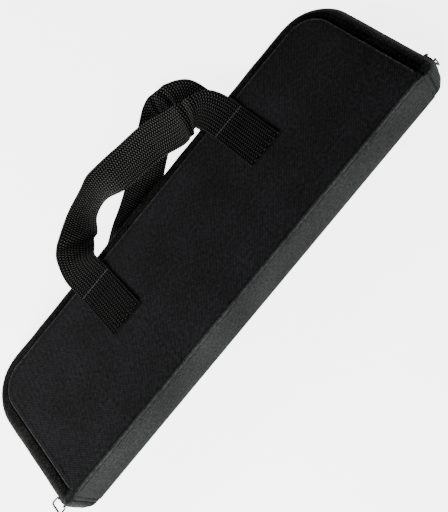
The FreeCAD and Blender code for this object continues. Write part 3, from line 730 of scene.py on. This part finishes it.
# ---- Webbing handles: heavy polypropylene webbing, box-stitched to the covers ----
# Each strap is one length of webbing: sewn end, loop and sewn end. The knots of the weave are
# 3.2 mm apart across and 2.6 mm along, and stand 0.4 mm proud, so the surface is modelled.
KNOT_ACROSS = 0.0032
KNOT_ALONG = 0.0026
KNOT_PROUD = 0.00042
KNOT_SWAY = 0.0005
HALF_WIDTH = 0.02
HALF_THICK = 0.0008
FRONT_STATIONS = [
    ((100, -67.5, 0.4), (1, 0, 0)), ((100, -40, 0.4), (1, 0, 0)), ((100, -14, 0.6), (1, 0, 0)),
    ((100, -7.2, 1.1), (1, 0, 0)), ((99, 6.5, 1.1), (1, 0, 0)),
    ((92, 28, -1), (40, 27, 3)), ((80, 32.5, -2.5), (30, 36, 9)),
    ((63.5, 43.5, -8), (16, 35, 16)), ((40, 57.5, -10), (12, 35, 20)),
    ((8, 65.5, -10.5), (3, 35, 19)), ((-15, 71, -11), (-6, 28, 25)),
    ((-43, 79.5, -15), (-5, -1, 34)), ((-62, 70.5, -11), (-5, -2, 32)),
    ((-77.5, 55.5, -8), (-13, 6, 31)), ((-88.5, 45.5, -4), (-24, 5, 26)),
    ((-96, 32, -1.5), (-33, 12, 11)), ((-100.5, 15.5, 1.1), (-39, 5, 1)),
    ((-100, -7.2, 1.1), (-1, 0, 0)), ((-100, -14, 0.6), (-1, 0, 0)),
    ((-100, -40, 0.4), (-1, 0, 0)), ((-100, -67.5, 0.4), (-1, 0, 0)),
]
BACK_STATIONS = [
    ((100, -67.5, 0.8), (1, 0, 0)), ((100, -40, 0.8), (1, 0, 0)), ((100, -14, 0.8), (1, 0, 0)),
    ((100, -7.2, 0.8), (1, 0, 0)), ((100, 2.5, 0.8), (1, 0, 0)), ((100, 24, 3.2), (1, 0, 0)),
    ((96.5, 53.5, 11), (39, 4, 0)), ((94, 74.5, 17.5), (38, 25, 6)),
    ((82.5, 85.5, 19), (22, 38, 7)), ((67, 91, 18), (2, 40, 5)),
    ((53, 80.5, 15), (-15, 30, 12)), ((25.5, 67, 11), (-21, 29, 12)),
    ((-2.5, 50, 7.5), (-22, 32, 7)), ((-23.5, 42, 5), (-22, 33, 2)),
    ((-45, 34.5, 3), (-21, 33, 0)), ((-63.5, 24.5, 1.6), (-22, 32, 0)),
    ((-85, 15.5, 0.9), (-31, 22, 0)), ((-99, 6.5, 0.8), (-39, 6, 0)),
    ((-100, -7.2, 0.8), (-1, 0, 0)), ((-100, -14, 0.8), (-1, 0, 0)),
    ((-100, -40, 0.8), (-1, 0, 0)), ((-100, -67.5, 0.8), (-1, 0, 0)),
]


def through(values, marks, steps):
    """A smooth curve through values at the given marks, read at every step."""
    slopes = np.zeros_like(values)
    gaps = np.diff(marks)[:, None]
    chords = np.diff(values, axis=0) / gaps
    slopes[1:-1] = (chords[:-1] * gaps[1:] + chords[1:] * gaps[:-1]) / (gaps[:-1] + gaps[1:])
    slopes[0], slopes[-1] = chords[0], chords[-1]
    spans = np.clip(np.searchsorted(marks, steps, side="right") - 1, 0, len(marks) - 2)
    width = (marks[spans + 1] - marks[spans])[:, None]
    t = (steps - marks[spans])[:, None] / width
    leaving, arriving = width * slopes[spans], width * slopes[spans + 1]
    return ((2 * t ** 3 - 3 * t ** 2 + 1) * values[spans] + (t ** 3 - 2 * t ** 2 + t) * leaving
            + (3 * t ** 2 - 2 * t ** 3) * values[spans + 1] + (t ** 3 - t ** 2) * arriving)


def strap(name, stations, base_z, folds):
    """One length of webbing through its stations; a fold is a station, its depth, width and lean."""
    middles = np.array([[5 + p[0], 73.5 + p[1], 1000 * base_z + p[2]] for p, _ in stations]) / 1000
    acrosses = np.array([np.array(a) / np.linalg.norm(a) for _, a in stations])
    marks = np.concatenate([[0.0], np.cumsum(np.linalg.norm(np.diff(middles, axis=0), axis=1))])
    steps = np.arange(0, marks[-1], 0.00046)
    centre = through(middles, marks, steps)
    across = through(acrosses, marks, steps)
    across /= np.linalg.norm(across, axis=1)[:, None]
    tangent = np.gradient(centre, axis=0)
    normal = np.cross(across, tangent)
    normal /= np.linalg.norm(normal, axis=1)[:, None]
    fine, coarse, edge = 67, 21, HALF_WIDTH + 0.00018
    wide = np.concatenate([np.linspace(-HALF_WIDTH, HALF_WIDTH, fine), [edge],
                           np.linspace(HALF_WIDTH, -HALF_WIDTH, coarse), [-edge]])
    lift = np.concatenate([np.full(fine, HALF_THICK), [0.0], np.full(coarse, -HALF_THICK), [0.0]])
    shown = np.concatenate([np.ones(fine), np.zeros(coarse + 2)])
    selvedge = np.clip((HALF_WIDTH - np.abs(wide)) / 0.0012, 0.0, 1.0)
    u, s = wide[None, :], steps[:, None]
    leaned = s + KNOT_SWAY * np.sin(math.pi * u / KNOT_ACROSS)
    knots = np.cos(math.pi * u / KNOT_ACROSS) * np.cos(2 * math.pi * leaned / KNOT_ALONG)
    sealed = np.clip(np.minimum(s, steps[-1] - s) / 0.003, 0.0, 1.0)
    cords = 0.00008 * np.abs(np.cos(math.pi * u / KNOT_ACROSS))
    relief = sealed * KNOT_PROUD * np.clip(knots, 0, 1) + cords
    height = lift + shown * (relief - 0.00015) * selvedge - shown * 0.0002 * (1 - selvedge)
    for station, depth, spread, lean in folds:
        away = s - marks[station] - lean * u
        valley = np.exp(-(away / spread) ** 2)
        shoulders = 0.45 * np.exp(-((np.abs(away) - 2.1 * spread) / spread) ** 2)
        height = height - depth * (valley - shoulders)
    points = centre[:, None, :] + u[..., None] * across[:, None, :] + height[..., None] * normal[:, None, :]
    rows, columns = height.shape
    row, column = np.meshgrid(np.arange(rows - 1), np.arange(columns), indexing="ij")
    a, b = row * columns + column, row * columns + (column + 1) % columns
    faces = np.stack([a, b, b + columns, a + columns], axis=-1).reshape(-1, 4).tolist()
    faces += [list(range(columns))[::-1], list(range((rows - 1) * columns, rows * columns))]
    piece = new_piece(name, points.reshape(-1, 3).tolist(), faces)
    layer = piece.data.uv_layers.new(name="UVMap")
    flat = np.stack(np.broadcast_arrays(u + HALF_WIDTH, s), axis=-1).reshape(-1, 2)
    corners = np.zeros(len(piece.data.loops), dtype=int)
    piece.data.loops.foreach_get("vertex_index", corners)
    layer.data.foreach_set("uv", flat[corners].ravel())
    face_outwards(piece)
    return piece


def webbing_cloth():
    """Webbing with painted light: knot tops are painted pale as a painted highlight and the hollows between
    them black as painted shade, and the loops are painted paler than the sewn ends for how light falls on
    them.
    """
    material, tree, shader = new_material("polypropylene_webbing")
    flat = add_node(tree, "TexCoord").outputs["UV"]
    u, v, _ = add_node(tree, "SeparateXYZ", {0: flat}).outputs
    across = add_node(tree, "Math", {0: u, 1: HALF_WIDTH}, operation="SUBTRACT")
    sway = threads(tree, across, 2 * KNOT_ACROSS)
    swayed = add_node(tree, "Math", {0: sway, 1: KNOT_SWAY, 2: v}, operation="MULTIPLY_ADD")
    along = add_node(tree, "Math", {0: swayed, 1: KNOT_ALONG / 4}, operation="ADD")
    beside = add_node(tree, "Math", {0: across, 1: KNOT_ACROSS / 2}, operation="ADD")
    knots = add_node(tree, "Math", {0: threads(tree, beside, 2 * KNOT_ACROSS),
                                    1: threads(tree, along, KNOT_ALONG)}, operation="MULTIPLY")
    slant = add_node(tree, "Math", {0: v, 1: 0.7, 2: u}, operation="MULTIPLY_ADD")
    fuzz = add_node(tree, "TexNoise", {"Vector": flat, "Scale": 1 / 0.0008, "Detail": 3.0})
    plied = add_node(tree, "Math", {0: threads(tree, slant, 0.00045), 1: 0.12, 2: fuzz},
                     operation="MULTIPLY_ADD")
    height = add_node(tree, "Math", {0: knots, 1: plied}, operation="ADD")
    dull = add_node(tree, "Math", {0: fuzz, 1: 0.4, 2: -0.24}, operation="MULTIPLY_ADD")
    knot_highlight_and_shade = add_node(tree, "Math", {0: knots, 1: 0.5, 2: dull}, operation="MULTIPLY_ADD")
    case_y = add_node(tree, "SeparateXYZ", {0: add_node(tree, "TexCoord").outputs["Object"]}).outputs[1]
    loop_light_by_y = add_node(tree, "MapRange", {"Value": case_y, "From Min": 0.055, "From Max": 0.14,
                                       "To Min": 0.5, "To Max": 1.4})
    painted_knot_and_loop_light = add_node(tree, "Math", {0: knot_highlight_and_shade, 1: loop_light_by_y}, operation="MULTIPLY")
    # painted light: the ramp runs from black in the knot hollows to pale on the knot tops, scaled up along
    # the loops and down at the sewn ends
    colour = add_node(tree, "ValToRGB", {0: painted_knot_and_loop_light}, [(0.0, "#000000"), (0.56, "#5a5a58")])
    rough = add_node(tree, "MapRange", {"Value": fuzz, "To Min": 0.6, "To Max": 0.8})
    relief = add_node(tree, "Bump", {"Height": height, "Strength": 0.7, "Distance": 0.0003})
    fill(shader, {"Base Color": colour, "Roughness": rough, "Normal": relief, "Specular IOR Level": 0.03})
    return material


webbing = webbing_cloth()
front_strap = strap("front_webbing", FRONT_STATIONS, CASE_TOP,
                    [(6, 0.0022, 0.0032, 0.25), (14, 0.0018, 0.0045, 0.1), (3, 0.0002, 0.0012, 0.0)])
back_strap = strap("back_webbing", BACK_STATIONS, 0.0,
                   [(8, 0.0016, 0.0025, 0.3), (9, 0.0012, 0.0022, -0.3)])
for piece, cover, handle, height in ((front_strap, "front_cover", "front_handle", CASE_TOP),
                                     (back_strap, "back_half", "back_handle", 0.0)):
    side = "front" if cover == "front_cover" else "back"
    patches = [f"{side}_handle_patch_left", f"{side}_handle_patch_right"]
    finish(piece, None, webbing, [handle] + patches, 60)
    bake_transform(piece)


# ---- Stitching: bonded polyester thread, 3 stitches to the centimetre ----
# The sewn ends have a box of stitches and a cross seam; other rows follow the rims and bands.
def bonded_thread(name, dark, light):
    """Bonded polyester thread: waxy and dull, with plies 0.5 mm apart."""
    material, tree, shader = new_material(name)
    place = add_node(tree, "TexCoord").outputs["Object"]
    x, y, z = add_node(tree, "SeparateXYZ", {0: place}).outputs
    level = add_node(tree, "Math", {0: y, 1: z}, operation="ADD")
    slant = add_node(tree, "Math", {0: x, 1: level}, operation="ADD")
    fuzz = add_node(tree, "TexNoise", {"Vector": place, "Scale": 1 / 0.0005, "Detail": 2.0})
    plies = add_node(tree, "Math", {0: threads(tree, slant, 0.0005), 1: 0.2, 2: fuzz},
                     operation="MULTIPLY_ADD")
    colour = add_node(tree, "ValToRGB", {0: plies}, [(0.2, dark), (0.8, light)])
    relief = add_node(tree, "Bump", {"Height": plies, "Strength": 0.5, "Distance": 0.0001})
    fill(shader, {"Base Color": colour, "Normal": relief, "Roughness": 0.7, "Specular IOR Level": 0.05})
    return material


thread = bonded_thread("black_bonded_thread", "#020202", "#131314")
# grey thread; where it forms the cross seams over the webbing, its paleness is a painted highlight along
# the seam
grey_thread_and_seam_highlight = bonded_thread("grey_thread_and_painted_seam_highlight", "#3a3a38", "#6b6b68")


def stitch_line(start, stop, out, step=0.0033):
    """Places for a straight row of stitches between two points, facing outwards."""
    start, stop, out = Vector(start), Vector(stop), Vector(out)
    along = (stop - start).normalized()
    count = max(2, round((stop - start).length / step))
    spots = [start.lerp(stop, (number + 0.5) / count) for number in range(count)]
    return [(spot, along, out.cross(along), out) for spot in spots]


BOX_HALF = 0.0168
BOX_START, BOX_END = 0.0095, 0.0465
SEAM_HALF, SEAM_Y = 0.019, 0.060
for cover, height, out in (("front_cover", CASE_TOP + 0.0013, 1), ("back_half", -0.0001, -1)):
    rows, seams = [], []
    for middle in PATCH_X:
        low_x, high_x = middle - BOX_HALF, middle + BOX_HALF
        corners = [(low_x, BOX_START), (high_x, BOX_START), (high_x, BOX_END), (low_x, BOX_END)]
        for number in range(4):
            first, last = corners[number], corners[(number + 1) % 4]
            rows += stitch_line((*first, height), (*last, height), (0, 0, out), 0.0030)
        rows += stitch_line((low_x, BOX_START + 0.0035, height), (high_x, BOX_START + 0.0035, height),
                            (0, 0, out), 0.0030)
        seams += stitch_line((middle - SEAM_HALF, SEAM_Y, height), (middle + SEAM_HALF, SEAM_Y, height),
                             (0, 0, out), 0.0026)
    box = copies(f"{cover}_box_stitching", bead(0.0024, 0.0007, 0.0005), rows)
    finish(box, cover, thread, (), 80)
    # the cross seam is sewn in the paler thread, a painted highlight across the sewn end
    seam = copies(f"{cover}_cross_seam", bead(0.0023, 0.0007, 0.0005), seams)
    finish(seam, cover, grey_thread_and_seam_highlight, (), 80)
for half, side, body in (("front", 1.0, "front_cover"), ("back", -1.0, "back_half")):
    rows = []
    face = CASE_TOP + 0.00002 if side > 0 else -0.00002
    for spot, along, away in edge_walk(-0.0046, -0.060, 0.0034):
        up = Vector((0, 0, side))
        rows.append((spot + Vector((0, 0, face - side * 0.0002)), along, up.cross(along), up))
    rim = copies(f"{half}_rim_stitching", bead(0.0025, 0.0006, 0.0005), rows)
    finish(rim, body, thread, (), 80)
    rows = []
    for angle in (68, 24):
        turn = math.radians(angle)
        out, up = GROOVE + (BEND + 0.0001) * math.cos(turn), (BEND + 0.0001) * math.sin(turn) * side
        for spot, along, away in edge_walk(out, ZIP_START + 0.001, 0.0034):
            facing = (away * math.cos(turn) + Vector((0, 0, side * math.sin(turn)))).normalized()
            rows.append((spot + Vector((0, 0, MIDDLE + up)), along, facing.cross(along), facing))
    hem = copies(f"{half}_band_stitching", bead(0.0024, 0.0006, 0.0005), rows)
    finish(hem, body, thread, (), 80)


# ---- Inside: lining panels, bound raw edges, foam and board ----
# Nothing of this shows while the case is closed; it is seen when the cover is folded back.
lining_cloth = cloth("nylon_lining", "#0e0e10", "#2b2b2e", 0.0008, 0.55, 0.15, 0.4)
twill = cloth("binding_twill", "#0a0a0a", "#272728", 0.0011, 0.75, 0.1, 0.7)
for half, side, body in (("front", 1.0, "front_cover"), ("back", -1.0, "back_half")):
    low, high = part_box(f"{half}_lining")
    panel = block(f"{half}_lining_panel", low, high)
    for edge_y, radius, segments in ((high.y, CORNER - 0.0011, 10), (low.y, SPINE_CORNER - 0.0011, 5)):
        bevel_edges(panel, lambda e: abs(e.verts[0].co.z - e.verts[1].co.z) > 0.0005
                    and abs(e.verts[0].co.y - edge_y) < 0.001, radius, segments)
    grid_cuts(panel, 0, low.x, high.x, 0.008)
    grid_cuts(panel, 1, low.y, high.y, 0.008)
    shown = low.z if side > 0 else high.z
    for vertex in panel.data.vertices:
        x, y, z = vertex.co
        if abs(z - shown) < 1e-4:
            edge = min(high.x - abs(x), high.y - y, y - low.y)
            soft = 0.00022 * math.sin(38 * x + 0.6) * math.sin(61 * y) + 0.0001 * math.sin(140 * x - 90 * y)
            vertex.co.z -= side * soft * min(edge / 0.02, 1.0)
    finish(panel, body, lining_cloth, [f"{half}_lining"], 40)
    top = MIDDLE + side * (MIDDLE - 0.0066)
    section = [(0.0, 0.0001), (-0.0001, 0.0006), (-0.0006, 0.0008), (-0.0020, 0.00085), (-0.0034, 0.0008),
               (-0.0039, 0.0006), (-0.0040, 0.0001)]
    section = [(out, top - side * up) for out, up in section]
    binding = section_loop(f"{half}_edge_binding", section, ZIP_START)
    carry_round(binding, ZIP_START, 0.006, 10)
    finish(binding, body, twill, [f"{half}_binding"], 40)
    rows = []
    for spot, along, away in edge_walk(-0.0022, ZIP_START + 0.001, 0.0034):
        facing = Vector((0, 0, -side))
        rows.append((spot + Vector((0, 0, top - side * 0.0009)), along, facing.cross(along), facing))
    finish(copies(f"{half}_binding_stitching", bead(0.0025, 0.0006, 0.0004), rows), body,
           grey_thread_and_seam_highlight, (), 80)

pad_low, pad_high = Vector(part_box("spine_board")[0]), Vector(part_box("spine_lining")[1])
pad = block("spine_lining_pad", pad_low, pad_high)
bevel_edges(pad, lambda e: True, 0.0014, 4)
grid_cuts(pad, 0, pad_low.x, pad_high.x, 0.008)
grid_cuts(pad, 2, pad_low.z, pad_high.z, 0.005)
for vertex in pad.data.vertices:
    if vertex.co.y > pad_high.y - 1e-4:
        vertex.co.y += 0.00025 * math.sin(45 * vertex.co.x) * math.sin(160 * vertex.co.z)
finish(pad, "spine", lining_cloth, ["spine_board", "spine_foam", "spine_lining"], 40)


def cut_core(name, dark, light, blob, roughness, stretch):
    """Foam cells or board fibres, hidden inside the covers but finished like the rest."""
    material, tree, shader = new_material(name)
    x, y, z = add_node(tree, "SeparateXYZ", {0: add_node(tree, "TexCoord").outputs["Object"]}).outputs
    drawn_x = add_node(tree, "Math", {0: x, 1: stretch}, operation="MULTIPLY")
    drawn = add_node(tree, "CombineXYZ", {0: drawn_x, 1: y, 2: z})
    cells = add_node(tree, "TexNoise", {"Vector": drawn, "Scale": 1 / blob, "Detail": 4.0})
    colour = add_node(tree, "ValToRGB", {0: cells}, [(0.3, dark), (0.7, light)])
    relief = add_node(tree, "Bump", {"Height": cells, "Strength": 0.5, "Distance": 0.0003})
    fill(shader, {"Base Color": colour, "Normal": relief, "Roughness": roughness})
    return material


foam_cells = cut_core("closed_cell_foam", "#1c1c1e", "#3a3a3d", 0.0009, 0.9, 1.0)
board_fibres = cut_core("grey_fibreboard", "#4a4843", "#6f6c64", 0.0014, 0.85, 0.25)
for half in ("front", "back"):
    for layer, material in (("foam", foam_cells), ("board", board_fibres)):
        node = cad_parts[f"{half}_{layer}"]
        node.data.materials.clear()
        node.data.materials.append(material)
